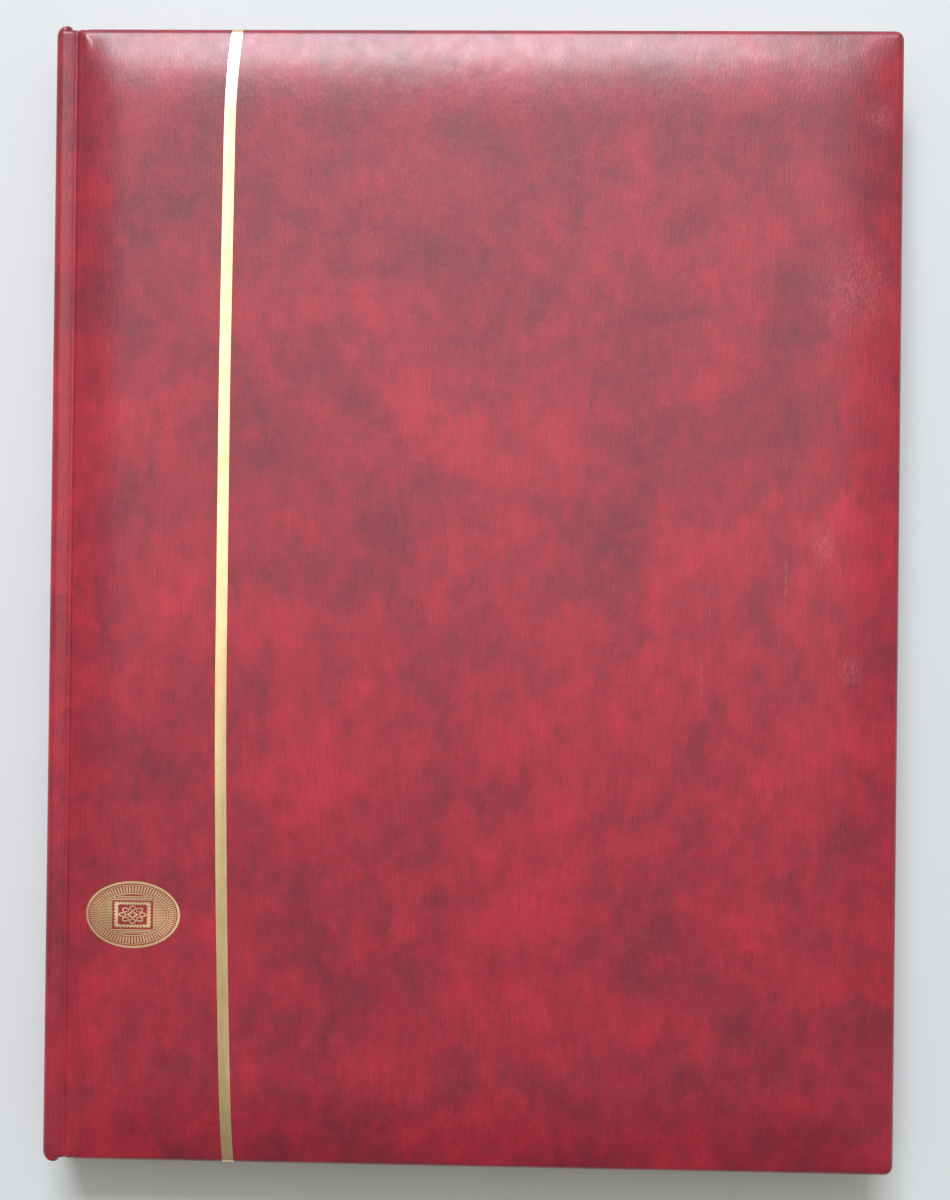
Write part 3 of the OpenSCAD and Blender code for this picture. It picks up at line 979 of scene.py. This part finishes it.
# A flap leaves the block straight out to LEAD times its root's radius, and lies
# level from FLAT_FROM to FLAT_TO before the card's edge
LEAD = 1.45
FLAT_FROM = 2.6 * MM
FLAT_TO = 0.4 * MM
FLAP_STEPS = 7
GUARD_ROWS = 40
# The middle point of an arm, as a share of its length from the card's edge
ARM_MIDDLE = 0.3


def guard(k):
    """A leaf's linen guard: a flap that bends at the block and forks over its card."""
    card_low, card_high = span(f"leaf_card_{k}")
    low, high = span(f"leaf_linen_{k}")
    z = (card_low[2] + card_high[2]) / 2 - NOSE[2]
    half = (card_high[2] - card_low[2]) / 2 + CARD_GAP
    a = math.radians(((LEAVES + 1) / 2 - k) * FLAP_STEP)
    edge = card_low[0] - NOSE[0] - EDGE_GAP
    tape = high[0] - NOSE[0]
    root = np.array([ROOT_R * math.cos(a), ROOT_R * math.sin(a)])
    path = rounded([root, root * LEAD, (edge - FLAT_FROM, z), (edge - FLAT_TO, z)], FLAP_STEPS)
    ahead = np.gradient(path, axis=0)
    length = np.linalg.norm(ahead, axis=1)[:, None]
    side = np.column_stack([-ahead[:, 1], ahead[:, 0]]) / length * GUARD_T / 2
    over = [(x, z + half + TAPE_T) for x in (edge, edge + ARM_MIDDLE * (tape - edge), tape)]
    under = [(x, 2 * z - h) for x, h in over]
    fork = [(tape, z + half), (edge, z + half), (edge, z - half), (tape, z - half)]
    section = np.array([*(path + side), *over, *fork, *under[::-1], *(path - side)[::-1]])
    rows = [section_row(section, y, NOSE) for y in np.linspace(low[1], high[1], GUARD_ROWS)]
    points, faces = loft(rows, closed=True)
    count = len(section)
    faces.append(tuple(reversed(range(count))))
    faces.append(tuple(range(len(points) - count, len(points))))
    obj = add_mesh(f"leaf_guard_{k}", points, faces, LINEN)
    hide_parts(f"leaf_linen_{k}")
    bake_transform(obj)


for K in range(1, LEAVES + 1):
    guard(K)

# ------------------------------------------------- finishes of the CAD's pieces

ENDPAPER_COLOURS = ((0.73, 0.71, 0.65, 1.0), (0.66, 0.64, 0.57, 1.0))
CARD_COLOURS = ((0.76, 0.74, 0.675, 1.0), (0.70, 0.68, 0.61, 1.0))
# The finish of each CAD node, by a word in the node's name
FINISHES = {
    "foam": foam_material(),
    "board": greyboard_material(),
    "endpaper": paper_material("endpaper", *ENDPAPER_COLOURS, fibre=900.0),
    "card": paper_material("page_card", *CARD_COLOURS),
    "spine_lining": linen_material(at_rest=False),
    "binding_block": stacked_linen_material(),
    "binding_staples": wire_material(),
    "strips": film_material(),
    "interleaf": glassine_material(),
}


def finish_nodes():
    """Gives every CAD node that shows its finish."""
    for node, obj in frame["nodes"].items():
        for word, finish in FINISHES.items():
            if word in node:
                for material_slot in obj.material_slots:
                    material_slot.material = finish


finish_nodes()

# ----------------------------------------------------------------- room and camera

WINDOW_AT = (-0.24, 2.2, 2.35)
WINDOW_SIZE = (1.5, 0.9)
WINDOW_WATTS = 101.0
WINDOW_COLOUR = (0.94, 0.965, 1.07)
CEILING_AT = (0.0, 0.6, 1.7)
CEILING_SIZE = (1.6, 1.4)
CEILING_WATTS = 9.0


def area_light(name, at, size, power, colour=(1, 1, 1)):
    """A rectangle of light that faces the origin."""
    data = bpy.data.lights.new(name, "AREA")
    data.shape = "RECTANGLE"
    data.size, data.size_y = size
    data.energy = power
    data.color = colour
    obj = bpy.data.objects.new(name, data)
    bpy.context.collection.objects.link(obj)
    obj.location = at
    obj.rotation_euler = (-Vector(at)).to_track_quat("-Z", "Y").to_euler()


area_light("window", WINDOW_AT, WINDOW_SIZE, WINDOW_WATTS, WINDOW_COLOUR)
area_light("ceiling", CEILING_AT, CEILING_SIZE, CEILING_WATTS)

ROOM_COLOUR = (1.03, 0.975, 0.88, 1.0)
# The direction's Y, from the tail's side to the head's, and the light's strength there
ROOM_DIMMING = (("From Min", -0.65), ("From Max", 0.1), ("To Min", 0.24), ("To Max", 0.55))


def room():
    """Soft light from all round, dimmer from the tail's side of the room."""
    world = bpy.data.worlds.new("room")
    bpy.context.scene.world = world
    world.use_nodes = True
    tree = world.node_tree
    background = tree.nodes["Background"]
    background.inputs["Color"].default_value = ROOM_COLOUR
    direction = tree.nodes.new("ShaderNodeTexCoord")
    parts = tree.nodes.new("ShaderNodeSeparateXYZ")
    dim = tree.nodes.new("ShaderNodeMapRange")
    tree.links.new(direction.outputs["Generated"], parts.inputs[0])
    tree.links.new(parts.outputs["Y"], dim.inputs["Value"])
    for name, value in ROOM_DIMMING:
        dim.inputs[name].default_value = value
    tree.links.new(dim.outputs["Result"], background.inputs["Strength"])


room()
bpy.context.scene.view_settings.view_transform = "Standard"

FLOOR_HALF = 60.0
FLOOR_Z = CAD_BOX[0][2]
FLOOR_CORNERS = [
    (x * FLOOR_HALF, y * FLOOR_HALF, FLOOR_Z)
    for x, y in ((-1, -1), (1, -1), (1, 1), (-1, 1))
]
add_mesh("table_top", FLOOR_CORNERS, [(0, 1, 2, 3)], table_material())

# Straight down from just under half a metre, with the small tilts of a hand-held view,
# in degrees
CAMERA_AT = (13.9 * MM, -3.2 * MM, 485.9 * MM)
CAMERA_TILT = (0.327, 1.587, 0.666)
SENSOR_W = 36
LENS = 52.2

camera_data = bpy.data.cameras.new("camera")
camera_data.sensor_width = SENSOR_W
camera_data.lens = LENS
camera = bpy.data.objects.new("camera", camera_data)
bpy.context.collection.objects.link(camera)
camera.location = CAMERA_AT
camera.rotation_euler = tuple(math.radians(angle) for angle in CAMERA_TILT)
bpy.context.scene.camera = camera
